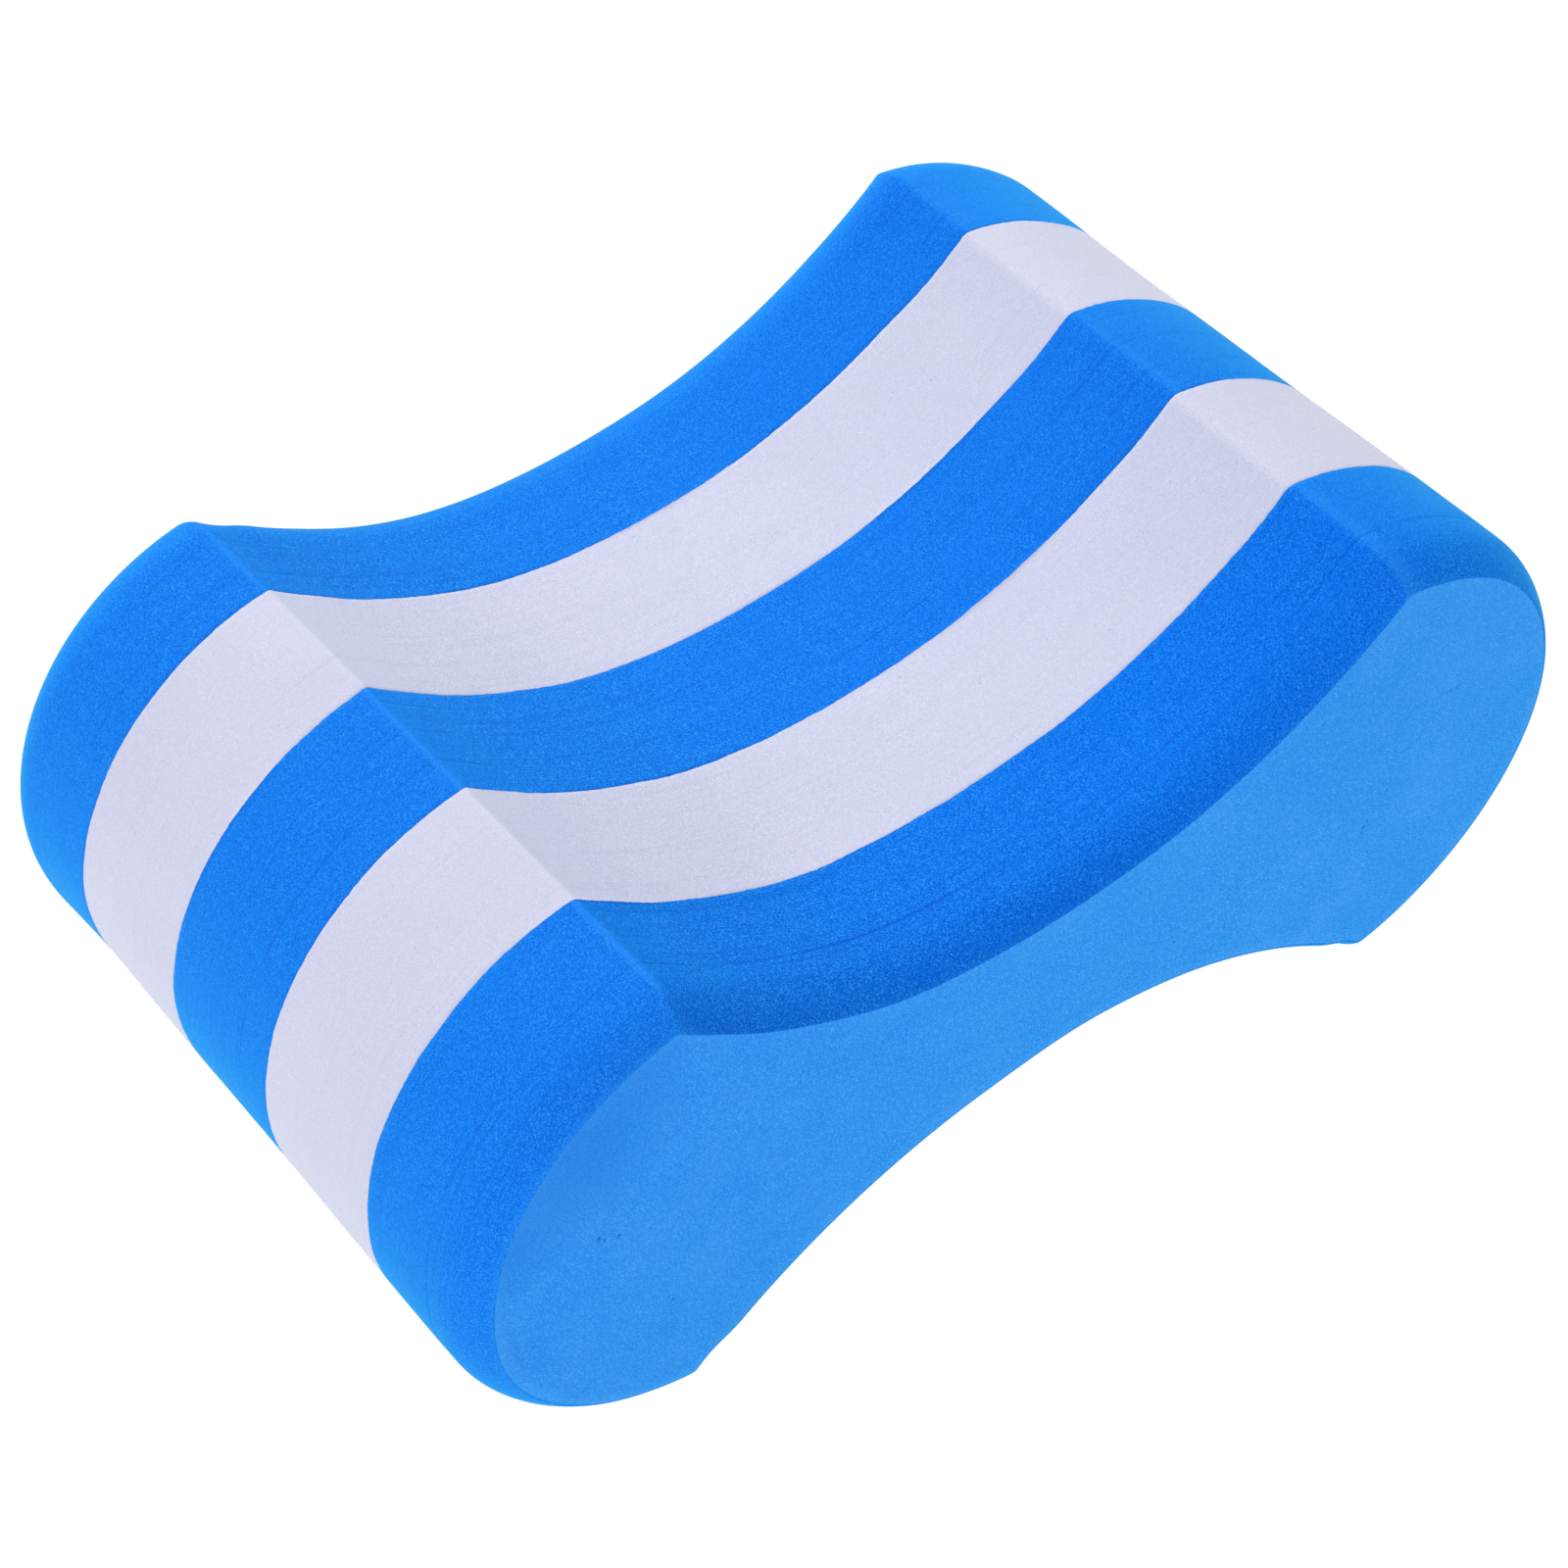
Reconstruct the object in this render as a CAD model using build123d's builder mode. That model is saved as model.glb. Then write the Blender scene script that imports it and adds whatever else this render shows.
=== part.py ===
"""Swimmer's pull buoy: five foam sheets bonded side by side and ground to one hourglass profile.

Frame: X runs along the length, from lobe to lobe, Y across the bonded sheets, and Z up.
The origin is under the middle of the float, on the surface that its two lobes stand on.
All sizes are in millimetres.
"""

import math
import os

from build123d import *

# ---- driving dimensions: the profile ------------------------------------------------------
LOBE_RADIUS = 48.0        # the two round ends
LOBE_OFFSET = 66.5        # from the middle of the float to each lobe's axis
WAIST_THICKNESS = 39.0    # foam left between the upper and the lower saddle
SADDLE_RADIUS = 108.0     # the concave arc that a thigh lies in
RIDGE_RADIUS = 3.0        # softened ridge where a saddle meets a lobe

# ---- driving dimensions: sheet thicknesses, from the front (-Y) to the back (+Y) -----------
FRONT_BLUE = 28.0
FRONT_WHITE = 28.5
MIDDLE_BLUE = 27.0
BACK_WHITE = 28.5
BACK_BLUE = 26.0

# ---- driving dimensions: the round ground on the outer edge of both end sheets ------------
EDGE_RADIUS = 12.0
EDGE_TURN = 48.5          # degrees it turns through before a crease ends it at the side face

# ---- worked out from the driving dimensions -----------------------------------------------
SADDLE_OFFSET = WAIST_THICKNESS / 2 + SADDLE_RADIUS
FLOAT_WIDTH = FRONT_BLUE + FRONT_WHITE + MIDDLE_BLUE + BACK_WHITE + BACK_BLUE
FRONT_FACE = -FLOAT_WIDTH / 2
FRONT_SEAM = FRONT_FACE + FRONT_BLUE
MIDDLE_FRONT_SEAM = FRONT_SEAM + FRONT_WHITE
MIDDLE_BACK_SEAM = MIDDLE_FRONT_SEAM + MIDDLE_BLUE
BACK_SEAM = MIDDLE_BACK_SEAM + BACK_WHITE
BACK_FACE = FLOAT_WIDTH / 2
EDGE_SPARE = EDGE_RADIUS * (1 - math.sin(math.radians(EDGE_TURN)))

os.makedirs("parts", exist_ok=True)

# ---- the hourglass profile: two lobes joined by a block, less the two saddles -------------
with BuildSketch() as hourglass:
    Rectangle(2 * LOBE_OFFSET, 2 * LOBE_RADIUS)
    with Locations((-LOBE_OFFSET, 0), (LOBE_OFFSET, 0)):
        Circle(LOBE_RADIUS)
    with Locations((0, SADDLE_OFFSET), (0, -SADDLE_OFFSET)):
        Circle(SADDLE_RADIUS, mode=Mode.SUBTRACT)
    fillet(hourglass.vertices(), RIDGE_RADIUS)

# The float stands on its lower ridges, which are the profile's lowest points.
MID_HEIGHT = hourglass.sketch.bounding_box().max.Y


def facing_front(y):
    """Profile plane at y whose normal is -Y."""
    return Plane(origin=(0, y, MID_HEIGHT), x_dir=(1, 0, 0), z_dir=(0, -1, 0))


def facing_back(y):
    """Profile plane at y whose normal is +Y."""
    return Plane(origin=(0, y, MID_HEIGHT), x_dir=(1, 0, 0), z_dir=(0, 1, 0))


def grind_outer_edge(spare_face, side_face):
    """Round the edge of the spare face, then cut the spare foam back to the flat side face."""
    fillet(spare_face.edges(), EDGE_RADIUS)
    split(bisect_by=side_face, keep=Keep.BOTTOM)


def finish(sheet, name):
    """Label a sheet and write it to its own STEP file."""
    sheet.part.label = name
    export_step(sheet.part, f"parts/{name}.step")
    print(f"{name}: {sheet.part.volume / 1000:.1f} cm3")


# ---- front blue sheet, with the round edge on its -Y side ---------------------------------
with BuildPart() as front_blue_sheet:
    with BuildSketch(facing_front(FRONT_SEAM)):
        add(hourglass.sketch)
    extrude(amount=FRONT_BLUE + EDGE_SPARE)
    grind_outer_edge(front_blue_sheet.faces().sort_by(Axis.Y)[0], facing_front(FRONT_FACE))
finish(front_blue_sheet, "front_blue_sheet")

# ---- back blue sheet, with the round edge on its +Y side ----------------------------------
with BuildPart() as back_blue_sheet:
    with BuildSketch(facing_back(BACK_SEAM)):
        add(hourglass.sketch)
    extrude(amount=BACK_BLUE + EDGE_SPARE)
    grind_outer_edge(back_blue_sheet.faces().sort_by(Axis.Y)[-1], facing_back(BACK_FACE))
finish(back_blue_sheet, "back_blue_sheet")

# ---- the three inner sheets, cut square at both seams -------------------------------------
for name, seam, thickness in (
    ("front_white_sheet", FRONT_SEAM, FRONT_WHITE),
    ("middle_blue_sheet", MIDDLE_FRONT_SEAM, MIDDLE_BLUE),
    ("back_white_sheet", MIDDLE_BACK_SEAM, BACK_WHITE),
):
    with BuildPart() as inner_sheet:
        with BuildSketch(facing_back(seam)):
            add(hourglass.sketch)
        extrude(amount=thickness)
    finish(inner_sheet, name)
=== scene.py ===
"""A pull buoy: five bonded sheets of foam ground to an hourglass, with its floor, lights and camera."""

import math

import bpy
import numpy as np
from mathutils import Matrix, Vector
from mathutils.geometry import delaunay_2d_cdt


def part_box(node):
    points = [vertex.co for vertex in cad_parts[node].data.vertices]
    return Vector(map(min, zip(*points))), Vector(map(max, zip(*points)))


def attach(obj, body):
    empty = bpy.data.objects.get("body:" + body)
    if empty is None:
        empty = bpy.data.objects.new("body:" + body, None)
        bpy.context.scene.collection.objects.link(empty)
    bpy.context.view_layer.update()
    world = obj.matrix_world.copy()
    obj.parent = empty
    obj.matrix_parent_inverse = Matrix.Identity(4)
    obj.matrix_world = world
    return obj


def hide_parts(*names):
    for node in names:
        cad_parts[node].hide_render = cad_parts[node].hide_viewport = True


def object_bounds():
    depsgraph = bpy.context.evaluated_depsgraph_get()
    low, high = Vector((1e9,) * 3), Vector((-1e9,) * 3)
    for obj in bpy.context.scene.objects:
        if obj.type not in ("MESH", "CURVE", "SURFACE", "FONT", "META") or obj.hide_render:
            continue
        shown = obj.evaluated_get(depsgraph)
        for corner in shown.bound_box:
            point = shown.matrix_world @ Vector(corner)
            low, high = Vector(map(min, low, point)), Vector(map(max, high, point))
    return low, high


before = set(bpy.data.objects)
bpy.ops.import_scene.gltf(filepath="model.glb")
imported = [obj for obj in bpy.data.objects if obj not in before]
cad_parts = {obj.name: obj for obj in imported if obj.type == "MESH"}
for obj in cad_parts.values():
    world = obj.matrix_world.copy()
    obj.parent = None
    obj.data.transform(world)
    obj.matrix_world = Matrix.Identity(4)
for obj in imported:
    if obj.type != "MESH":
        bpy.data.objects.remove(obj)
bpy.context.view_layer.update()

MM = 0.001

# -------------------- the hourglass

LOBE_RADIUS = 48 * MM
LOBE_OFFSET = 66.5 * MM
WAIST_THICKNESS = 39 * MM
SADDLE_RADIUS = 108 * MM
SADDLE_CENTRE = WAIST_THICKNESS / 2 + SADDLE_RADIUS
EDGE_RADIUS = 12 * MM
EDGE_TURN = math.radians(48.5)
CREASE_INSET = EDGE_RADIUS * (1 - math.cos(EDGE_TURN))
CREASE_DEPTH = EDGE_RADIUS * math.sin(EDGE_TURN)

LOBE_STEPS = 172
RIDGE_STEPS = 9
SADDLE_STEPS = 196
ROW_STEP = 0.8 * MM

# upper right, upper left, lower left, lower right: which way each ridge lies, and its radius
CORNERS = ((1, 1), (-1, 1), (-1, -1), (1, -1))
RIDGE_RADII = (3.4 * MM, 1.3 * MM, 2.4 * MM, 2.4 * MM)

FRONT_SHEET, BACK_SHEET = "front_blue_sheet", "back_blue_sheet"
BLUE_SHEETS = (FRONT_SHEET, "middle_blue_sheet", BACK_SHEET)
WHITE_SHEETS = ("front_white_sheet", "back_white_sheet")
STACK = (FRONT_SHEET, "front_white_sheet", "middle_blue_sheet", "back_white_sheet", BACK_SHEET)

MID_HEIGHT = sum(corner.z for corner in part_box("middle_blue_sheet")) / 2

# the front face, the four seams and the back face: how far in mm each strays, and how much more at the left
SEAM_PLACES = [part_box(sheet)[0].y for sheet in STACK] + [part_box(BACK_SHEET)[1].y]
SEAM_DRIFTS = (0, -0.10, 0.08, 0.15, -0.15, 0)
SEAM_LEFT_DRIFTS = (0, -0.25, 0, 0.25, 0, 0)


def ridge_place(inset, radius):
    """The upper right ridge: its rounding's centre, and the angles where that meets lobe and saddle."""
    from_lobe = LOBE_RADIUS - inset - radius
    from_saddle = SADDLE_RADIUS + inset + radius
    span = math.hypot(LOBE_OFFSET, SADDLE_CENTRE)
    along = (span ** 2 + from_saddle ** 2 - from_lobe ** 2) / (2 * span)
    across = math.sqrt(from_saddle ** 2 - along ** 2)
    x = (along * LOBE_OFFSET + across * SADDLE_CENTRE) / span
    z = SADDLE_CENTRE + (across * LOBE_OFFSET - along * SADDLE_CENTRE) / span
    return x, z, math.atan2(z, x - LOBE_OFFSET), math.atan2(SADDLE_CENTRE - z, -x)


def arc(centre, radius, start, end, steps, facing=1):
    """Points of one arc, without its last, with the way out of the foam at each."""
    turn = np.linspace(start, end, steps, endpoint=False)
    ray = np.column_stack([np.cos(turn), np.sin(turn)])
    return np.array(centre) + radius * ray, facing * ray


def outline(inset, radii):
    """The hourglass that far inside its ground surface, anticlockwise from the lower right ridge."""
    places = [ridge_place(inset, radius) for radius in radii]
    (_, _, lobe_ur, saddle_ur), (_, _, lobe_ul, saddle_ul) = places[:2]
    (_, _, lobe_ll, saddle_ll), (_, _, lobe_lr, saddle_lr) = places[2:]
    turn = math.pi
    lobe, saddle = LOBE_RADIUS - inset, SADDLE_RADIUS + inset

    def ridge(index, start, end):
        (across, up), (x, z, _, _) = CORNERS[index], places[index]
        return arc((across * x, up * z), radii[index], start, end, RIDGE_STEPS)

    arcs = [
        arc((LOBE_OFFSET, 0), lobe, -lobe_lr, lobe_ur, LOBE_STEPS),
        ridge(0, lobe_ur, saddle_ur),
        arc((0, SADDLE_CENTRE), saddle, saddle_ur - turn, -saddle_ul, SADDLE_STEPS, -1),
        ridge(1, turn - saddle_ul, turn - lobe_ul),
        arc((-LOBE_OFFSET, 0), lobe, turn - lobe_ul, turn + lobe_ll, LOBE_STEPS),
        ridge(2, turn + lobe_ll, turn + saddle_ll),
        arc((0, -SADDLE_CENTRE), saddle, saddle_ll, turn - saddle_lr, SADDLE_STEPS, -1),
        ridge(3, -saddle_lr, -lobe_lr),
    ]
    return np.vstack([a[0] for a in arcs]), np.vstack([a[1] for a in arcs])


def smooth(low, high, value):
    """0 below low, 1 above high, and a soft step between."""
    t = np.clip((value - low) / (high - low), 0, 1)
    return t * t * (3 - 2 * t)


def waves(points, longest, shortest, seed, stretch=(1, 1, 1), count=48):
    """Smooth random height, about -1 to 1, of waves of those lengths, the same at a place on any sheet."""
    draw = np.random.default_rng(seed)
    way = draw.normal(size=(count, 3))
    way /= np.linalg.norm(way, axis=1)[:, None]
    length = np.exp(draw.uniform(math.log(shortest), math.log(longest), count))
    phase = draw.uniform(0, 2 * math.pi, count)
    turn = (points * np.array(stretch)) @ (way * (2 * math.pi / length)[:, None]).T + phase
    return np.sin(turn).sum(axis=1) / math.sqrt(count)


# -------------------- a sheet's ground surface, row by row

def seam_rows(y, inward):
    """The edge at a glued seam, softened by 0.1 mm: each row's inset, y, and lean of the way out."""
    steps = ((0.10, 0.0, 60), (0.03, 0.03, 40), (0.0, 0.10, 8))
    return [(inset * MM, y + inward * depth * MM, -inward * math.radians(lean))
            for inset, depth, lean in steps]


def crease_rows(y, inward):
    """The rounded outer edge of an end sheet, from its crease at the side face to the ground surface."""
    bevel = 0.3 * MM
    round_turn = EDGE_TURN - bevel / EDGE_RADIUS

    def on_round(turn):
        return EDGE_RADIUS * (1 - math.cos(turn)), CREASE_DEPTH - EDGE_RADIUS * math.sin(turn)

    corner = ((CREASE_INSET + bevel, 0.0), (CREASE_INSET, 0.0), on_round(round_turn))
    rows = []
    for t in (0.0, 0.25, 0.5, 0.75, 1.0):
        shares = ((1 - t) ** 2, 2 * t * (1 - t), t * t)
        inset, depth = (sum(share * place[i] for share, place in zip(shares, corner)) for i in (0, 1))
        lean = math.pi / 2 + t * (EDGE_TURN - math.pi / 2)
        rows.append((inset, y + inward * depth, -inward * lean))
    steps = round(EDGE_RADIUS * round_turn / ROW_STEP)
    for i in range(1, steps + 1):
        turn = round_turn * (1 - i / steps)
        inset, depth = on_round(turn)
        rows.append((inset, y + inward * depth, -inward * turn))
    return rows


def sheet_rows(name, front, back, marks):
    """All rows of a sheet, with extra ones where a grinding mark runs round it."""
    head = crease_rows(front, 1) if name == FRONT_SHEET else seam_rows(front, 1)
    tail = crease_rows(back, -1) if name == BACK_SHEET else seam_rows(back, -1)
    start, end = head[-1][1], tail[-1][1]
    count = round((end - start) / ROW_STEP)
    between = [start + (end - start) * i / count for i in range(1, count)]
    for place, width, _ in marks:
        between = [y for y in between if abs(y - place) > 1.6 * width]
        between += [place + share * width for share in (-1.2, -0.6, 0, 0.6, 1.2)]
    return head + [(0.0, y, 0.0) for y in sorted(between)] + tail[::-1]


def ridge_radii(name, inset):
    """The ridges are rounded less towards the side face, apart from the front's upper right corner."""
    smallest = 1.2 * MM
    radii = [max(radius - inset, smallest) for radius in RIDGE_RADII]
    if name == FRONT_SHEET:
        radii[0] = max(radii[0], 1.6 * MM + 0.4 * inset)
    return radii


def rings(name, rows):
    """The true ground surface: points, ways out in plane and in all, and how squarely each faces out."""
    points, ways, outs, facing = [], [], [], []
    for inset, y, lean in rows:
        ring, way = outline(inset, ridge_radii(name, inset))
        level = np.zeros(len(ring))
        square, tilt = math.cos(lean), math.sin(lean)
        points.append(np.column_stack([ring[:, 0], level + y, ring[:, 1] + MID_HEIGHT]))
        ways.append(np.column_stack([way[:, 0], level, way[:, 1]]))
        outs.append(np.column_stack([way[:, 0] * square, level + tilt, way[:, 1] * square]))
        facing.append(level + square)
    return np.vstack(points), np.vstack(ways), np.vstack(outs), np.concatenate(facing)


# -------------------- what grinding by hand leaves

# the depth of a groove that counts as 1
FULL_GROOVE = 0.08 * MM


def upper_shape(x, y, z):
    """How far in mm the upper half stands out: a saddle with a dip and a swell, and a low right ridge."""
    back_rise = 0.35 * smooth(30, 60, y) * smooth(-68, -62, x) * (1 - smooth(-34, -14, x))
    back_rise += 0.4 * smooth(45, 65, y) * smooth(-70, -64, x) * (1 - smooth(-58, -42, x))
    dip = -0.70 * np.exp(-((x + 31) / 14) ** 2) + back_rise
    swell = 0.36 * np.exp(-((x - 8) / 15) ** 2)
    left_ridge = 0.25 * np.exp(-((x + 66) / 5) ** 2)
    lowering = 0.35 + 0.55 * smooth(0, 45, y) - 0.5 * smooth(52, 66, y)
    right_ridge = -lowering * smooth(50, 62, x) * smooth(30, 43, z)
    return dip + swell + left_ridge + right_ridge


def lower_shape(x):
    """How far in mm the lower half stands out: a fuller saddle, most at the left, and its ridges."""
    saddle = 0.5 + 1.1 * (1 - smooth(-14, 12, x)) + 0.6 * smooth(30, 62, x)
    saddle *= 1 - smooth(65, 72, np.abs(x))
    saddle += 0.3 * np.exp(-((x - 76) / 12) ** 2) + 0.25 * np.exp(-((x + 74) / 6) ** 2)
    return saddle


def lobe_shape(x, y, z):
    """How far in mm the lobes stand out at their sides: both widen towards the front."""
    side = np.clip((np.abs(x) - LOBE_OFFSET / MM) / (LOBE_RADIUS / MM), 0, 1) ** 2
    right_lobe = 0.15 - 0.0265 * np.clip(y, -55, 25) + 0.2 * smooth(35, 60, y)
    lower_left = -0.29 - 0.023 * np.clip(y, -55, 40) + 0.5 * smooth(45, 66, y)
    upper_left = -0.25 * smooth(5, 45, y)
    left_lobe = lower_left + (upper_left - lower_left) * smooth(-20, 8, z)
    return side * np.where(x > 0, right_lobe, left_lobe)


def hand_shape(points):
    """How far the foam, which is ground by hand, stands out from true arcs at each point."""
    x, y, z = points[:, 0] / MM, points[:, 1] / MM, (points[:, 2] - MID_HEIGHT) / MM
    upper, lower = smooth(0, 15, z), smooth(0, 15, -z)
    return (upper * upper_shape(x, y, z) + lower * lower_shape(x) + lobe_shape(x, y, z)) * MM


def seam_drift(points):
    """How far along Y the bonded seams stray from flat planes, and the foam between with them."""
    on_left = smooth(-76 * MM, -72 * MM, points[:, 0]) * (1 - smooth(-30 * MM, 0, points[:, 0]))
    drift = np.interp(points[:, 1], SEAM_PLACES, SEAM_DRIFTS)
    return (drift + on_left * np.interp(points[:, 1], SEAM_PLACES, SEAM_LEFT_DRIFTS)) * MM


def relief(points):
    """How far the ground surface stands out at each point from slow waviness and grinding ripple."""
    slow = 0.10 * MM * waves(points, 90 * MM, 30 * MM, seed=11)
    middle = 0.010 * MM * waves(points, 12 * MM, 5 * MM, seed=12)
    ripple = 0.004 * MM * waves(points, 3.0 * MM, 1.8 * MM, seed=13, stretch=(0.25, 1, 0.25))
    return slow + middle + ripple


def score(points, marks):
    """Moves the rows at each grinding mark a little along Y, and says how deeply each point is scored."""
    groove = np.zeros(len(points))
    for index, (place, width, depth) in enumerate(marks):
        drift = 0.12 * MM * waves(points, 60 * MM, 20 * MM, seed=300 + index, stretch=(1, 0, 1))
        patchy = smooth(-0.5, 0.5, waves(points, 70 * MM, 15 * MM, seed=330 + index, stretch=(1, 0, 1)))
        away = (points[:, 1] - place) / width
        groove = np.maximum(groove, np.exp(-away ** 2 * 2) * patchy * depth / FULL_GROOVE)
        points[:, 1] += drift * np.exp(-away ** 2 * 0.5)
    return groove


def seam_teeth(points):
    """How far along Y the cut edges of two bonded sheets wander: fine teeth and a slow waver."""
    teeth = 0.05 * MM * waves(points, 2.2 * MM, 1.2 * MM, seed=31, stretch=(1, 0.2, 1))
    teeth += 0.07 * MM * waves(points, 40 * MM, 10 * MM, seed=32, stretch=(1, 0.2, 1))
    return teeth


def grind(name, front, back, marks, surface):
    """The true surface as the grinder leaves it, with masks of where it is scored and where turned."""
    points, ways, outs, facing = surface
    points = points + ways * hand_shape(points)[:, None]
    groove = score(points, marks)
    raised = smooth(0.66, 0.9, facing) * relief(points) - FULL_GROOVE * groove
    turned = turned_edge(points, facing, (front + back) / 2) * (name in (FRONT_SHEET, BACK_SHEET))
    points = points + outs * raised[:, None]
    teeth = seam_teeth(points)
    for seam, is_face in ((front, name == FRONT_SHEET), (back, name == BACK_SHEET)):
        if not is_face:
            points[:, 1] += teeth * np.exp(-np.abs(points[:, 1] - seam) / (1.0 * MM))
    points[:, 1] += seam_drift(points)
    return points, groove, turned


# -------------------- masks for the materials

def wear_and_sheen_mask(points):
    """How much paler the foam is painted: 1 along the left ridges and less at the right, partly wear and
    partly painted highlight, and some over the lobes and towards the back, which is painted sheen.
    """
    x, z, lobe_angle, saddle_angle = ridge_place(0, RIDGE_RADII[1])
    middle = (lobe_angle + saddle_angle) / 2
    line_x = x + RIDGE_RADII[1] * math.cos(middle) + 0.4 * MM
    line_z = z + RIDGE_RADII[1] * math.sin(middle)
    height = np.abs(points[:, 2] - MID_HEIGHT)
    along_y = points[:, 1]
    past_left, past_right = -x - points[:, 0], points[:, 0] - x

    from_line = np.hypot(points[:, 0] + line_x, height - line_z)
    wobble = 1 + 0.18 * waves(points, 14 * MM, 3 * MM, seed=21)
    left_line = np.exp(-(from_line / (0.8 * MM * wobble)) ** 2)
    right_band = smooth(-0.8 * MM, 0.8 * MM, past_right) * (1 - smooth(0.5 * MM, 5.5 * MM, past_right))
    right_band = 0.6 * (right_band * (height > LOBE_RADIUS * 0.8))
    # painted sheen over the left lobe, most at its outer side, over the far right lobe and towards the back
    outer = smooth(28 * MM, 46 * MM, past_left) * smooth(-70 * MM, 10 * MM, along_y)
    left_lobe = (0.28 + 0.32 * outer) * smooth(-1 * MM, 1 * MM, past_left)
    right_lobe = 0.15 * smooth(-66 * MM, -52 * MM, along_y) + 0.5 * smooth(-30 * MM, 60 * MM, along_y)
    right_lobe *= smooth(-1 * MM, 1 * MM, past_right)
    towards_back = 0.22 * smooth(-45 * MM, 10 * MM, along_y)
    return np.maximum.reduce([left_line, right_band, left_lobe, right_lobe, towards_back])


def dragged(points):
    """1 on the saddles just inside the left ridges, where the grinder dragged and tore the cells."""
    left_ridge = -ridge_place(0, RIDGE_RADII[1])[0]
    from_ridge = points[:, 0] - left_ridge
    ragged = from_ridge + 5 * MM * waves(points, 30 * MM, 6 * MM, seed=22)
    return smooth(-0.6 * MM, 0.6 * MM, from_ridge) * (1 - smooth(6 * MM, 44 * MM, ragged))


def grain_strength(points, pale):
    """How strong the ground grain is: most just inside the left ridges, and less towards the right."""
    x = points[:, 0]
    saddle = smooth(-72 * MM, -60 * MM, x)
    strength = 0.8 + 0.45 * saddle
    strength = strength - 0.35 * smooth(-50 * MM, -10 * MM, x) - 0.2 * smooth(-10 * MM, 40 * MM, x)
    return strength * (0.8 + 0.2 * saddle if pale else 1.0)


def turned_edge(points, facing, middle):
    """1 on the rounded outer edges of the end sheets, and less at the right: there the foam gets painted
    shade and a weaker grain.
    """
    turned = smooth(0.1, 1.0, np.arccos(np.clip(facing, -1, 1)) / EDGE_TURN)
    turned = turned * (np.abs(points[:, 1] - middle) > 4 * MM)
    from_left = smooth(-74 * MM, -69 * MM, points[:, 0])
    turned *= 0.25 + 0.75 * from_left * (1 - smooth(5 * MM, 55 * MM, points[:, 0]))
    return turned


def edge_distance(flat):
    """How far inside the ground outline each point of a flat face is."""
    x, z = np.abs(flat[:, 0]), np.abs(flat[:, 1])
    lobe = LOBE_RADIUS - np.hypot(x - LOBE_OFFSET, z)
    saddle = np.hypot(x, z - SADDLE_CENTRE) - SADDLE_RADIUS
    return np.where(x < LOBE_OFFSET, saddle, np.minimum(lobe, saddle))


def crease_wear_and_highlight(points, front, back, name):
    """1 along the creases round the side faces, where skin and ground foam meet in a paler line: partly a
    worn edge, partly a painted highlight.
    """
    far_off = 1.0
    from_face = np.full(len(points), far_off)
    if name == FRONT_SHEET:
        from_face = points[:, 1] - front
    if name == BACK_SHEET:
        from_face = back - points[:, 1]
    inset = edge_distance(points[:, [0, 2]] - (0, MID_HEIGHT))
    past_crease = inset - CREASE_INSET
    near = 1 - smooth(0.25 * MM, 0.9 * MM, np.hypot(from_face, np.minimum(past_crease - 0.15 * MM, 0)))
    at_left = 1.3 - 0.8 * smooth(-76 * MM, -66 * MM, points[:, 0])
    return near * (1 - smooth(0.5 * MM, 1.0 * MM, past_crease)) * at_left


def face_shade(points):
    """1 where the side faces' skin is darkest, at the upper left, and a little over both lobes."""
    x, z = points[:, 0] + LOBE_OFFSET, points[:, 2] - MID_HEIGHT
    outwards = (-0.75 * x + 0.55 * z) / LOBE_RADIUS
    ragged = outwards + 0.1 * waves(points, 50 * MM, 15 * MM, seed=61)
    corner = smooth(0.1, 1.0, ragged) * (points[:, 0] < 0)
    lobes = 0.2 * smooth(10 * MM, 60 * MM, -points[:, 0])
    lobes += 0.22 * smooth(30 * MM, 66 * MM, points[:, 0]) * smooth(-15 * MM, 25 * MM, z)
    return np.maximum(corner, lobes)


# -------------------- a sheet's two ends

# how far apart the points of a side face and of a hidden seam face are, and how far inside their edges
FACE_STEP = 1.1 * MM
FACE_MARGIN = 1.7 * MM
SEAM_STEP = 9 * MM
SEAM_MARGIN = 5 * MM

# the depth at which a pit would be wholly dark, and how dark pits get at most
DARK_PIT = 0.4 * MM
DARKEST = 0.75


def inside(points, margin):
    """Which points lie in the hourglass, at least that far inside its outline."""
    x, z = np.abs(points[:, 0]), points[:, 1]
    lobe = np.hypot(x - LOBE_OFFSET, z) < LOBE_RADIUS - margin
    ridge_x = ridge_place(margin, 0.01 * MM)[0]
    waist = (x < ridge_x) & (np.abs(z) < LOBE_RADIUS)
    clear = np.hypot(x, np.abs(z) - SADDLE_CENTRE) > SADDLE_RADIUS + margin
    return (lobe | waist) & clear


def grid(step, margin, seed):
    """Points all over the hourglass's inside, in a staggered grid shaken a little."""
    draw = np.random.default_rng(seed)
    reach = LOBE_OFFSET + LOBE_RADIUS
    rows = np.arange(-LOBE_RADIUS, LOBE_RADIUS, step * math.sqrt(3) / 2)
    columns = np.arange(-reach, reach, step)
    places = [(x + (i % 2) * step / 2, z) for i, z in enumerate(rows) for x in columns]
    places = np.array(places) + draw.uniform(-0.2 * step, 0.2 * step, (len(places), 2))
    return places[inside(places, margin)]


def pit_points(x, z, radius):
    """Points close round a pit, so that its hollow has its own small faces."""
    circles = [(0.0, 1), (0.45, 6), (0.9, 8), (1.5, 12), (2.2, 14)]
    return [(x + radius * reach * math.cos(2 * math.pi * (i + reach) / count),
             z + radius * reach * math.sin(2 * math.pi * (i + reach) / count))
            for reach, count in circles for i in range(count)]


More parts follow.
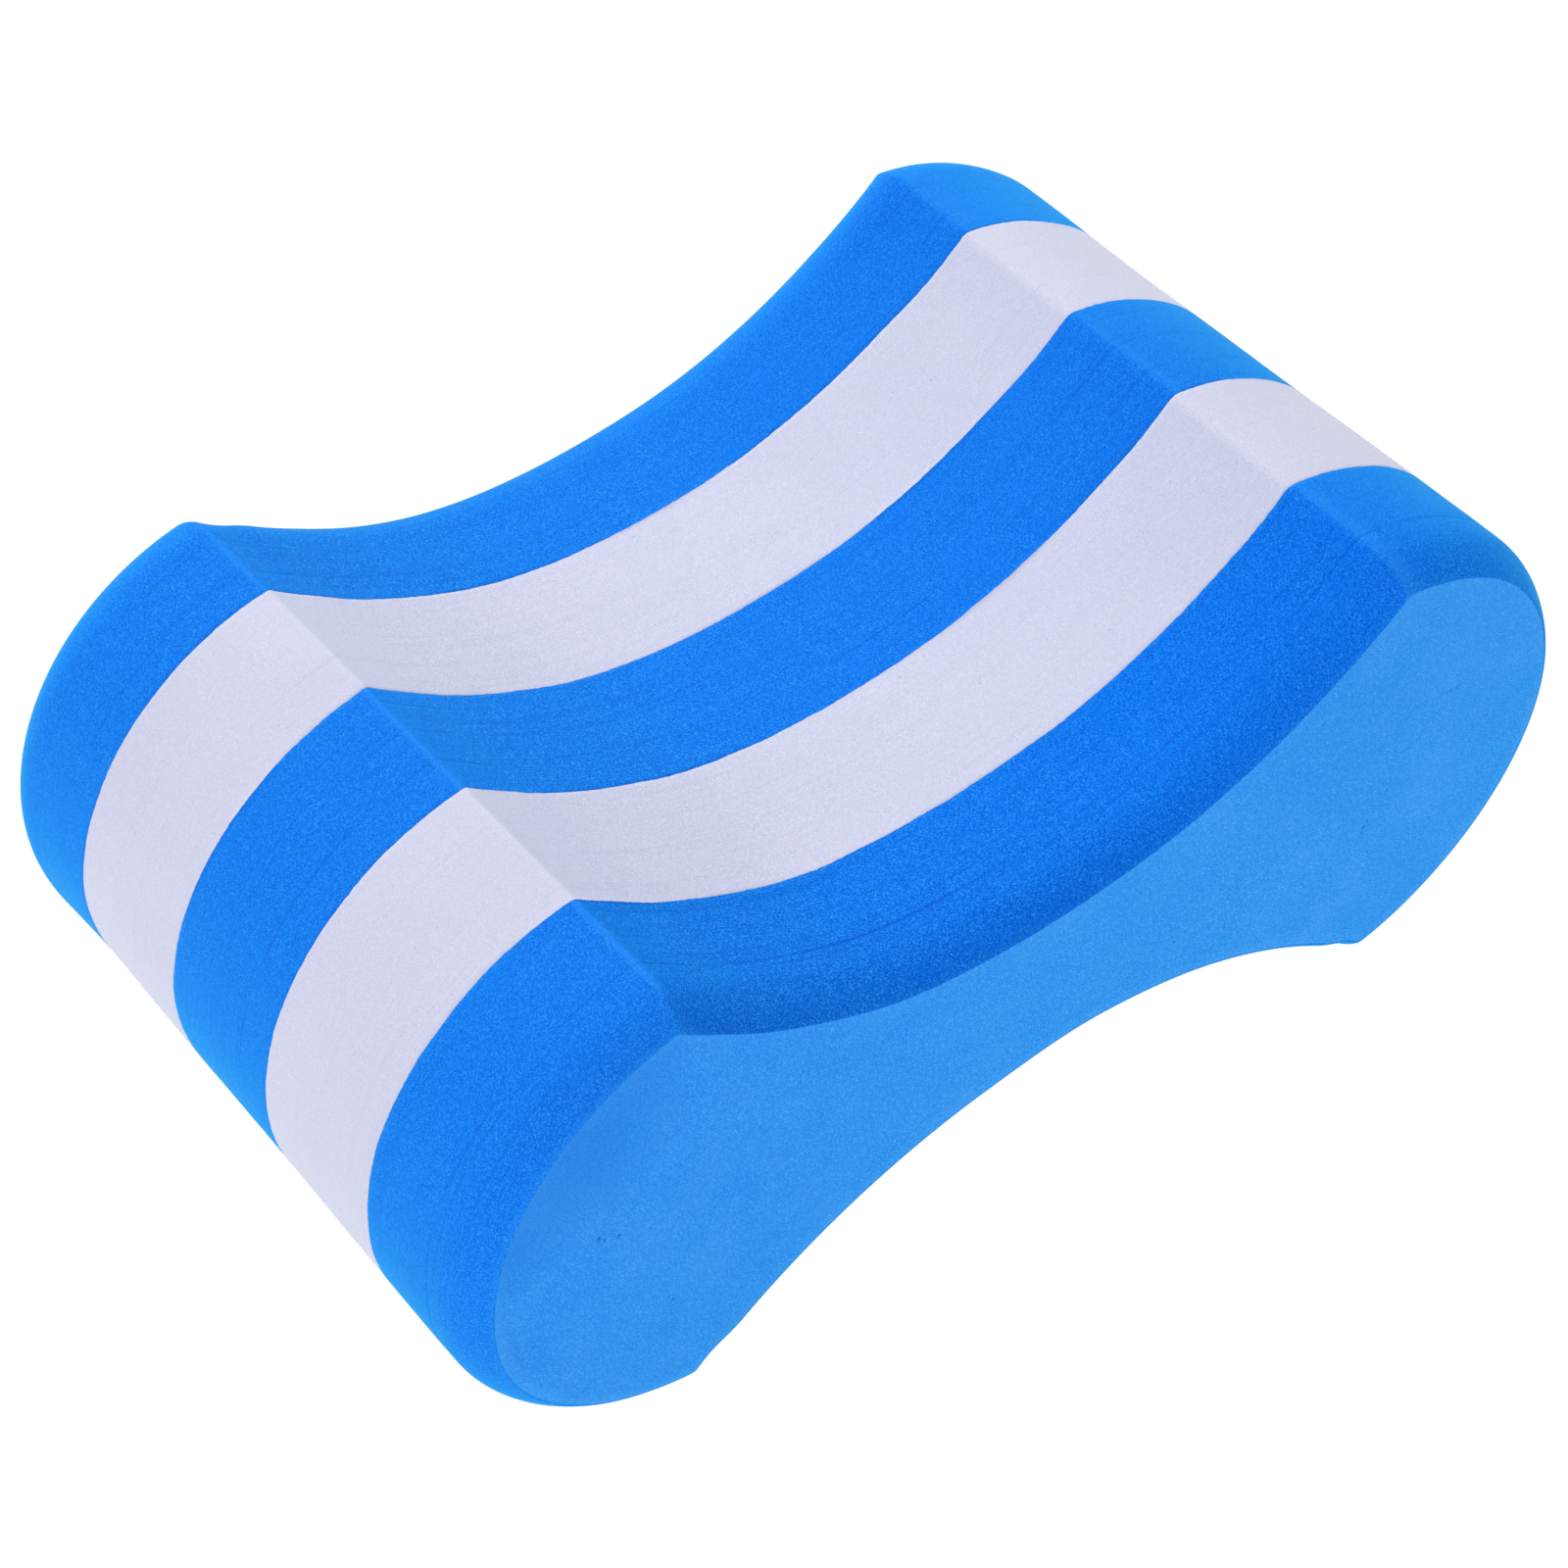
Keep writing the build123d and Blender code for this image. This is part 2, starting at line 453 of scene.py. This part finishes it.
def face_grid(pits):
    """Where the points of a side face go, as x and z: an even grid, with a finer one round each pit."""
    near = [spot for x, z, radius, _ in pits for spot in pit_points(x, z, radius)]
    even = grid(FACE_STEP, CREASE_INSET + FACE_MARGIN, seed=41)
    even = [place for place in even
            if all(math.hypot(place[0] - x, place[1] - z) > 2.4 * radius for x, z, radius, _ in pits)]
    return np.array(even + near)


def face_hollow(placed, flat, pits):
    """How far the points of a side face stand out, from slow waves and pits, and how dark each pit is."""
    hollow = 0.05 * MM * waves(placed, 60 * MM, 20 * MM, seed=51) - 0.05 * MM
    hollow += 0.012 * MM * waves(placed, 8 * MM, 3 * MM, seed=52)
    hollow *= smooth(CREASE_INSET, CREASE_INSET + 4 * MM, edge_distance(flat))
    pit = np.zeros(len(flat))
    for x, z, radius, depth in pits:
        there = np.exp(-((flat[:, 0] - x) ** 2 + (flat[:, 1] - z) ** 2) / radius ** 2)
        hollow -= depth * there
        pit = np.maximum(pit, there * min(DARKEST, depth / DARK_PIT))
    return hollow, pit


def end_points(is_face, y, outward, pits):
    """The points inside a sheet's end: as x and z, in true place and in place, and how dark each pit is."""
    flat = face_grid(pits) if is_face else grid(SEAM_STEP, SEAM_MARGIN, seed=42)
    true = np.column_stack([flat[:, 0], np.full(len(flat), y), flat[:, 1] + MID_HEIGHT])
    placed = true.copy()
    pit = np.zeros(len(flat))
    if is_face:
        hollow, pit = face_hollow(true, flat, pits)
        placed[:, 1] += outward * hollow
    else:
        placed[:, 1] += seam_drift(true)
    return flat, true, placed, pit


def fill(ring, inner):
    """Triangles of a flat face from its outline and the points inside it, as indexes into both together."""
    flat = [Vector(p) for p in np.vstack([ring, inner])]
    edges = [(i, (i + 1) % len(ring)) for i in range(len(ring))]
    _, _, faces, origin, _, _ = delaunay_2d_cdt(flat, edges, [], 1, 1e-9)
    first = [sources[0] for sources in origin]
    return [[first[i] for i in face] for face in faces]


def faces_outwards(face, points, outward):
    """Whether a face of a flat end, listed in that order, faces out of the sheet."""
    a, b, c = (points[i][[0, 2]] for i in face[:3])
    turn = (b[0] - a[0]) * (c[1] - a[1]) - (b[1] - a[1]) * (c[0] - a[0])
    return (turn > 0) == (outward < 0)


# -------------------- meshes

def ground_faces(row_count, per_row):
    """The faces between each row of points and the next, all round."""
    faces = []
    for row in range(row_count - 1):
        for i in range(per_row):
            j = (i + 1) % per_row
            a, b = row * per_row, (row + 1) * per_row
            faces.append((a + j, a + i, b + i, b + j))
    return faces


def add_attribute(mesh, name, values):
    """Gives each point of a mesh a number that its material reads."""
    mesh.attributes.new(name, "FLOAT", "POINT").data.foreach_set("value", values.astype(np.float32))


def sheet_mesh(name, marks, pits):
    """One sheet as a closed mesh: the ground surface all round, and its two ends."""
    low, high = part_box(name)
    marks = [(low.y + place * MM, width * MM, depth * MM) for place, width, depth in marks]
    rows = sheet_rows(name, low.y, high.y, marks)
    surface = rings(name, rows)
    points, groove, turned = grind(name, low.y, high.y, marks, surface)
    per_row = len(points) // len(rows)
    true_places, pit_shares = [surface[0]], [np.zeros(len(points))]
    faces = ground_faces(len(rows), per_row)
    skin = [0] * len(faces)

    last_row = (len(rows) - 1) * per_row
    ends = ((0, low.y, name == FRONT_SHEET, -1), (last_row, high.y, name == BACK_SHEET, 1))
    for start, y, is_face, outward in ends:
        ring = points[start:start + per_row][:, [0, 2]] - (0, MID_HEIGHT)
        flat, true, placed, pit = end_points(is_face, y, outward, pits)
        true_places.append(true)
        pit_shares.append(pit)
        base = len(points)
        points = np.vstack([points, placed])
        for face in fill(ring, flat):
            spots = [start + i if i < per_row else base + i - per_row for i in face]
            faces.append(spots if faces_outwards(spots, points, outward) else spots[::-1])
            skin.append(int(is_face))

    mesh = bpy.data.meshes.new(name)
    mesh.from_pydata(points.tolist(), [], faces)
    mesh.polygons.foreach_set("material_index", skin)
    mesh.polygons.foreach_set("use_smooth", [True] * len(faces))
    true_places = np.vstack(true_places)
    on_ends = np.zeros(len(points) - len(groove))
    masks = {
        "groove": np.concatenate([groove, on_ends]),
        "wear_and_sheen": wear_and_sheen_mask(true_places),
        "turned": np.concatenate([turned, on_ends]),
        "dragged": dragged(true_places),
        "shade": face_shade(true_places),
        "pit": np.concatenate(pit_shares),
        "grain": grain_strength(true_places, name in WHITE_SHEETS),
        "crease_wear_and_highlight": crease_wear_and_highlight(true_places, low.y, high.y, name),
    }
    for mask, values in masks.items():
        add_attribute(mesh, mask, values)
    mesh.validate()
    mesh.update()
    return mesh


# -------------------- materials

class Nodes:
    """A short way to write a material's nodes."""

    def __init__(self, name):
        self.material = bpy.data.materials.new(name)
        self.material.use_nodes = True
        self.tree = self.material.node_tree
        self.shader = self.tree.nodes["Principled BSDF"]
        place = self.tree.nodes.new("ShaderNodeTexCoord")
        self.place = place.outputs["Object"]

    def node(self, kind, inputs=(), **settings):
        """A new node of that kind, with its inputs linked or set, and its settings."""
        made = self.tree.nodes.new(kind)
        for key, value in settings.items():
            setattr(made, key, value)
        for key, value in dict(inputs).items():
            self.put(made.inputs[key], value)
        return made

    def put(self, socket, value):
        """Links a socket to another node's output, or sets its value."""
        if isinstance(value, bpy.types.NodeSocket):
            self.tree.links.new(value, socket)
        else:
            socket.default_value = value

    def noise(self, scale, detail=2.0, roughness=0.5, stretch=(1, 1, 1), shift=0.0):
        """Noise with that many features to the metre, from 0 to 1."""
        moved = {"Vector": self.place, "Scale": stretch, "Location": (shift, shift, shift)}
        place = self.node("ShaderNodeMapping", moved).outputs[0]
        inputs = {"Vector": place, "Scale": scale, "Detail": detail, "Roughness": roughness}
        return self.node("ShaderNodeTexNoise", inputs).outputs["Fac"]

    def cells(self, scale, stretch=(1, 1, 1)):
        """How far each point is from its small cell's middle, in cells, with that many to the metre."""
        place = self.node("ShaderNodeVectorMath", {0: self.place, 1: stretch}, operation="MULTIPLY")
        inputs = {"Vector": place.outputs[0], "Scale": scale}
        return self.node("ShaderNodeTexVoronoi", inputs).outputs["Distance"]

    def cell_tone(self, scale):
        """A different number from 0 to 1 in each small cell."""
        made = self.node("ShaderNodeTexVoronoi", {"Vector": self.place, "Scale": scale})
        return self.node("ShaderNodeSeparateColor", {0: made.outputs["Color"]}).outputs[0]

    def step(self, value, low, high, start=0.0, end=1.0):
        """From start, where the value is low, to end, where it is high, with a soft step between."""
        inputs = {"Value": value, "From Min": low, "From Max": high, "To Min": start, "To Max": end}
        return self.node("ShaderNodeMapRange", inputs, interpolation_type="SMOOTHSTEP").outputs[0]

    def math(self, operation, a, b=0.0):
        return self.node("ShaderNodeMath", {0: a, 1: b}, operation=operation).outputs[0]

    def multiply(self, a, b):
        return self.math("MULTIPLY", a, b)

    def mix(self, share, a, b):
        """Colour a with that share of colour b; a colour mix has its colours at sockets 6, 7 and 2."""
        return self.node("ShaderNodeMix", {"Factor": share, 6: a, 7: b}, data_type="RGBA").outputs[2]

    def bump(self, height, strength, distance):
        """A normal tilted by that height, which stands out by the distance at 1."""
        inputs = {"Height": height, "Strength": strength, "Distance": distance}
        return self.node("ShaderNodeBump", inputs).outputs[0]

    def attribute(self, name):
        """One of the masks that the mesh carries."""
        return self.node("ShaderNodeAttribute", attribute_name=name).outputs["Fac"]

    def surface(self, tone, roughness, specular, sheen):
        """Foam's colour, roughness and weak gloss, and its open cells' soft sheen, as weight and tint."""
        self.put(self.shader.inputs["Base Color"], tone)
        self.put(self.shader.inputs["Roughness"], roughness)
        self.shader.inputs["Specular IOR Level"].default_value = specular
        self.shader.inputs["Sheen Weight"].default_value = sheen[0]
        self.shader.inputs["Sheen Roughness"].default_value = 0.5
        self.shader.inputs["Sheen Tint"].default_value = sheen[1]


def colour(red, green, blue):
    """An opaque colour, in linear light."""
    return (red, green, blue, 1.0)


def ground_foam(name, body, deep, pale, stain_and_shade, contrast, wear_and_sheen_share, specular, sheen):
    """Foam ground with a wheel: torn-cell grain, faint lines along the cut, paler ridges partly worn and
    partly painted sheen, and painted shade.
    """
    n = Nodes(name)
    fine = n.noise(3600, 1.0, 0.6)
    coarse = n.noise(1300, 2.0, 0.6, shift=3.1)
    patches = n.noise(230, 2.0, 0.5, shift=7.7)
    slow = n.noise(38, 2.0, 0.5, shift=1.3)
    lines = n.noise(100, 2.0, 0.6, stretch=(0.12, 14, 0.12), shift=2.0)
    rare_lines = n.noise(100, 1.0, 0.5, stretch=(0.08, 7, 0.08), shift=5.0)
    pores = n.cells(620)
    walls = n.cells(3300, stretch=(0.85, 1.6, 0.85))
    cell_tone = n.cell_tone(3800)
    wear_and_sheen, groove, torn = n.attribute("wear_and_sheen"), n.attribute("groove"), n.attribute("dragged")
    turned, grain, crease_wear_and_highlight_line = n.attribute("turned"), n.attribute("grain"), n.attribute("crease_wear_and_highlight")

    on_edge = n.step(turned, 0.2, 1.0, contrast, 0.75 * contrast)
    level = n.multiply(n.step(patches, 0.36, 0.66, 0.85, 1.15), on_edge)
    level = n.multiply(level, grain)

    def share(value, low, high, most):
        return n.multiply(n.step(value, low, high, 0.0, most), level)

    pore_share = n.multiply(n.step(pores, 0.22, 0.08), n.step(patches, 0.62, 0.72))
    tone = n.mix(n.step(slow, 0.35, 0.65, 0.0, 0.08), body, deep)
    # torn cells inside the left ridges get a darker tone: partly stain, partly painted shade on the saddle
    tone = n.mix(n.multiply(n.step(patches, 0.3, 0.7, 0.55, 1.0), torn), tone, stain_and_shade)
    # painted shade: the rounded outer edges are darkened towards the deep colour
    tone = n.mix(n.multiply(turned, 0.36), tone, deep)
    tone = n.mix(share(cell_tone, 0.5, 1.0, 0.3), tone, pale)
    tone = n.mix(share(walls, 0.48, 0.80, 0.7), tone, pale)
    tone = n.mix(share(cell_tone, 0.5, 0.0, 0.5), tone, deep)
    tone = n.mix(share(walls, 0.50, 0.18, 1.0), tone, deep)
    tone = n.mix(share(lines, 0.54, 0.70, 0.26), tone, deep)
    tone = n.mix(share(rare_lines, 0.64, 0.70, 0.18), tone, deep)
    tone = n.mix(n.multiply(groove, 0.7 * contrast), tone, deep)
    tone = n.mix(n.multiply(pore_share, 0.6), tone, deep)
    # paler ridges, lobes and back: partly wear, partly painted highlight and sheen; less on the rounded
    # edges
    tone = n.mix(n.multiply(wear_and_sheen, n.step(turned, 0.3, 0.9, wear_and_sheen_share, 0.3 * wear_and_sheen_share)), tone, pale)
    # a paler line along the crease: partly worn edge, partly painted highlight
    tone = n.mix(n.multiply(crease_wear_and_highlight_line, 0.15), tone, pale)
    n.surface(tone, n.step(coarse, 0.3, 0.7, 0.58, 0.72), specular, sheen)

    height = n.math("ADD", n.multiply(fine, 0.6), n.multiply(coarse, n.step(torn, 0.0, 1.0, 0.0, 0.3)))
    height = n.math("SUBTRACT", height, n.multiply(n.step(lines, 0.5, 0.8), 0.25))
    height = n.math("SUBTRACT", height, pore_share)
    n.put(n.shader.inputs["Normal"], n.bump(height, 0.6, 0.12 * MM))
    return n.material


def skin_foam(name, body, deep, pale, pit_colour, contrast, specular, sheen):
    """The sheet's moulded skin on the side faces: smoother, with a fine close grain and pinholes."""
    n = Nodes(name)
    fine = n.noise(3600, 1.0, 0.6, shift=4.0)
    cloud = n.noise(75, 3.0, 0.55, shift=9.0)
    patches = n.noise(420, 1.0, 0.5, shift=6.0)
    walls = n.cells(3200)
    cell_tone = n.cell_tone(3800)
    holes = n.multiply(n.step(n.cells(700), 0.18, 0.07), n.step(patches, 0.63, 0.70))

    tone = n.mix(n.step(cloud, 0.35, 0.65, 0.0, 0.10), body, deep)
    tone = n.mix(n.step(cell_tone, 0.5, 0.0, 0.0, 0.5 * contrast), tone, deep)
    tone = n.mix(n.step(cell_tone, 0.5, 1.0, 0.0, 0.5 * contrast), tone, pale)
    tone = n.mix(n.step(walls, 0.48, 0.18, 0.0, contrast), tone, deep)
    tone = n.mix(n.step(walls, 0.48, 0.80, 0.0, contrast), tone, pale)
    tone = n.mix(n.multiply(holes, 0.7), tone, deep)
    # a paler line along the crease: partly worn edge, partly painted highlight
    tone = n.mix(n.multiply(n.attribute("crease_wear_and_highlight"), 0.35), tone, pale)
    tone = n.mix(n.multiply(n.attribute("shade"), 0.6), tone, deep)
    tone = n.mix(n.attribute("pit"), tone, pit_colour)
    n.surface(tone, n.step(cloud, 0.3, 0.7, 0.52, 0.66), specular, sheen)

    height = n.math("SUBTRACT", n.multiply(fine, 0.4), holes)
    n.put(n.shader.inputs["Normal"], n.bump(height, 0.4, 0.10 * MM))
    return n.material


def ground_blue_foam():
    """The blue sheets' ground surface."""
    return ground_foam(
        "ground_blue_foam", body=colour(0.001, 0.172, 0.83), deep=colour(0.0, 0.068, 0.56),
        pale=colour(0.030, 0.31, 0.97), stain_and_shade=colour(0.000, 0.118, 0.76),
        contrast=1.0, wear_and_sheen_share=0.5, specular=0.02, sheen=(0.42, colour(0.03, 0.72, 1.0)))


def ground_white_foam():
    """The white sheets' ground surface, with a faint blue cast."""
    return ground_foam(
        "ground_white_foam", body=colour(0.605, 0.62, 0.79), deep=colour(0.40, 0.42, 0.58),
        pale=colour(0.80, 0.81, 0.97), stain_and_shade=colour(0.580, 0.605, 0.78),
        contrast=0.42, wear_and_sheen_share=0.1, specular=0.25, sheen=(0.15, colour(1.0, 1.0, 1.0)))


def blue_foam_skin():
    """The moulded skin left on the outer faces of the blue end sheets."""
    return skin_foam(
        "blue_foam_skin", body=colour(0.002, 0.220, 0.93), deep=colour(0.0, 0.13, 0.74),
        pale=colour(0.05, 0.36, 1.0), pit_colour=colour(0.0, 0.05, 0.32),
        contrast=0.8, specular=0.18, sheen=(0.55, colour(0.0, 0.91, 1.0)))


# -------------------- the five sheets

# distance from the sheet's front, width and depth in mm of the grinder's marks that run round each sheet
MARKS = {
    "front_blue_sheet": [(9.9, 0.22, 0.03), (11.8, 0.28, 0.06), (13.1, 0.2, 0.03), (20.3, 0.25, 0.02)],
    "front_white_sheet": [(3.0, 0.22, 0.03), (19.7, 0.2, 0.03)],
    "middle_blue_sheet": [(7.4, 0.28, 0.06), (15.5, 0.22, 0.04), (17.0, 0.2, 0.03), (22.9, 0.22, 0.04)],
    "back_white_sheet": [(3.7, 0.2, 0.02), (8.7, 0.22, 0.03)],
    "back_blue_sheet": [(5.9, 0.25, 0.04), (15.0, 0.2, 0.03)],
}

# x and z from the face's middle, radius and depth in mm of the pits in the front side face
FRONT_PITS = [
    # three open pits and two small ones at the left
    (-90.5, 6.7, 0.35, 0.28), (-89.6, 5.6, 0.25, 0.18), (-86.8, 4.4, 0.35, 0.30),
    (-77.5, -20.2, 0.35, 0.20), (-78.3, -18.9, 0.25, 0.15),
    # a nick at the right, and a short scratch above it
    (70.6, -10.8, 0.4, 0.22), (70.2, -12.0, 0.35, 0.18), (71.3, -9.6, 0.3, 0.14),
    (85.6, 12.5, 0.4, 0.10), (86.8, 12.1, 0.4, 0.14), (88.0, 11.9, 0.4, 0.16), (89.2, 11.8, 0.4, 0.14),
    (90.3, 11.9, 0.35, 0.10),
    # single specks along the waist
    (14.8, 6.2, 0.25, 0.12), (-59.7, 9.8, 0.25, 0.14), (-41.2, -1.0, 0.22, 0.10), (27.0, -9.5, 0.22, 0.10),
]


def random_pits(seed, count):
    """Pits scattered over a side face."""
    draw = np.random.default_rng(seed)
    places = grid(10 * MM, CREASE_INSET + 3 * MM, seed)
    chosen = places[draw.permutation(len(places))[:count]]
    return [(x, z, draw.uniform(0.2, 0.4) * MM, draw.uniform(0.12, 0.3) * MM) for x, z in chosen]


def add_sheet(name, ground, skin, pits=()):
    """One sheet in place, with its ground surface and the skin of its side face, if it has one."""
    mesh = sheet_mesh(name, MARKS[name], pits)
    mesh.materials.append(ground)
    mesh.materials.append(skin)
    piece = bpy.data.objects.new(name + "_foam", mesh)
    bpy.context.scene.collection.objects.link(piece)
    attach(piece, "root")
    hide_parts(name)


def add_blue_sheets(ground, skin):
    front_pits = [tuple(value * MM for value in pit) for pit in FRONT_PITS]
    face_pits = {FRONT_SHEET: front_pits, BACK_SHEET: random_pits(61, 14)}
    for sheet in BLUE_SHEETS:
        add_sheet(sheet, ground, skin, face_pits.get(sheet, ()))


def add_white_sheets(ground, skin):
    for sheet in WHITE_SHEETS:
        add_sheet(sheet, ground, skin)


# -------------------- floor, light and camera

def add_floor():
    """A pale floor, lit from below as a light table is, so that shadows on it stay faint."""
    mesh = bpy.data.meshes.new("floor")
    half = 4.0
    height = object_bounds()[0][2]
    corners = [(-half, -half, height), (half, -half, height), (half, half, height), (-half, half, height)]
    mesh.from_pydata(corners, [], [(0, 1, 2, 3)])
    floor = bpy.data.objects.new("floor", mesh)
    bpy.context.scene.collection.objects.link(floor)
    n = Nodes("pale_floor")
    paper = n.noise(60, 3.0, 0.5)
    tone = n.mix(n.step(paper, 0.3, 0.7), colour(0.10, 0.10, 0.10), colour(0.12, 0.12, 0.12))
    n.put(n.shader.inputs["Base Color"], tone)
    n.shader.inputs["Roughness"].default_value = 0.9
    n.shader.inputs["Specular IOR Level"].default_value = 0.1
    n.shader.inputs["Emission Color"].default_value = colour(1, 1, 1)
    n.shader.inputs["Emission Strength"].default_value = 0.96
    mesh.materials.append(n.material)


def add_world(strength):
    """An even white sky."""
    world = bpy.data.worlds.new("studio")
    world.use_nodes = True
    background = world.node_tree.nodes["Background"]
    background.inputs["Color"].default_value = colour(1.0, 1.0, 1.0)
    background.inputs["Strength"].default_value = strength
    bpy.context.scene.world = world


def towards(azimuth, elevation):
    """The way from the float's middle to a viewer or light there, in degrees from the front."""
    azimuth, elevation = math.radians(azimuth), math.radians(elevation)
    level = math.cos(elevation)
    return Vector((math.sin(azimuth) * level, -math.cos(azimuth) * level, math.sin(elevation)))


def add_softbox(name, azimuth, elevation, strength):
    """A square soft light, which at strength 1 lights a face turned to it as a white sky of 1 does."""
    distance = 2.0
    ray = towards(azimuth, elevation)
    light = bpy.data.lights.new(name, "AREA")
    light.shape = "SQUARE"
    light.size = 1.2
    light.energy = strength * math.pi ** 2 * distance ** 2
    lamp = bpy.data.objects.new(name, light)
    lamp.location = ray * distance + Vector((0, 0, MID_HEIGHT))
    lamp.rotation_euler = (-ray).to_track_quat("-Z", "Y").to_euler()
    bpy.context.scene.collection.objects.link(lamp)


def add_camera(place, azimuth, elevation, roll):
    """The camera at the left front, above the float: its place in mm, its way back and its roll."""
    back = towards(azimuth, elevation)
    azimuth, roll = math.radians(azimuth), math.radians(roll)
    right = Vector((math.cos(azimuth), math.sin(azimuth), 0))
    up = back.cross(right)
    x_axis = right * math.cos(roll) + up * math.sin(roll)
    y_axis = up * math.cos(roll) - right * math.sin(roll)
    lens = bpy.data.cameras.new("camera")
    lens.lens = 91.98
    lens.sensor_width = 36
    camera = bpy.data.objects.new("camera", lens)
    moved = Matrix.Translation([value * MM for value in place])
    camera.matrix_world = moved @ Matrix((x_axis, y_axis, back)).transposed().to_4x4()
    bpy.context.scene.collection.objects.link(camera)
    bpy.context.scene.camera = camera


# -------------------- the whole scene

blue_skin = blue_foam_skin()
add_blue_sheets(ground_blue_foam(), blue_skin)
add_white_sheets(ground_white_foam(), blue_skin)
add_floor()
add_world(strength=0.41)
add_softbox("back_softbox", azimuth=180, elevation=20, strength=0.36)
add_softbox("back_right_softbox", azimuth=130, elevation=42, strength=0.48)
add_softbox("left_softbox", azimuth=-90, elevation=40, strength=0.20)
add_softbox("front_left_softbox", azimuth=-45, elevation=35, strength=0.34)
add_camera(place=(-287.02, -374.89, 546.22), azimuth=-37.29, elevation=47.19, roll=-0.82)
bpy.context.scene.view_settings.view_transform = "Standard"
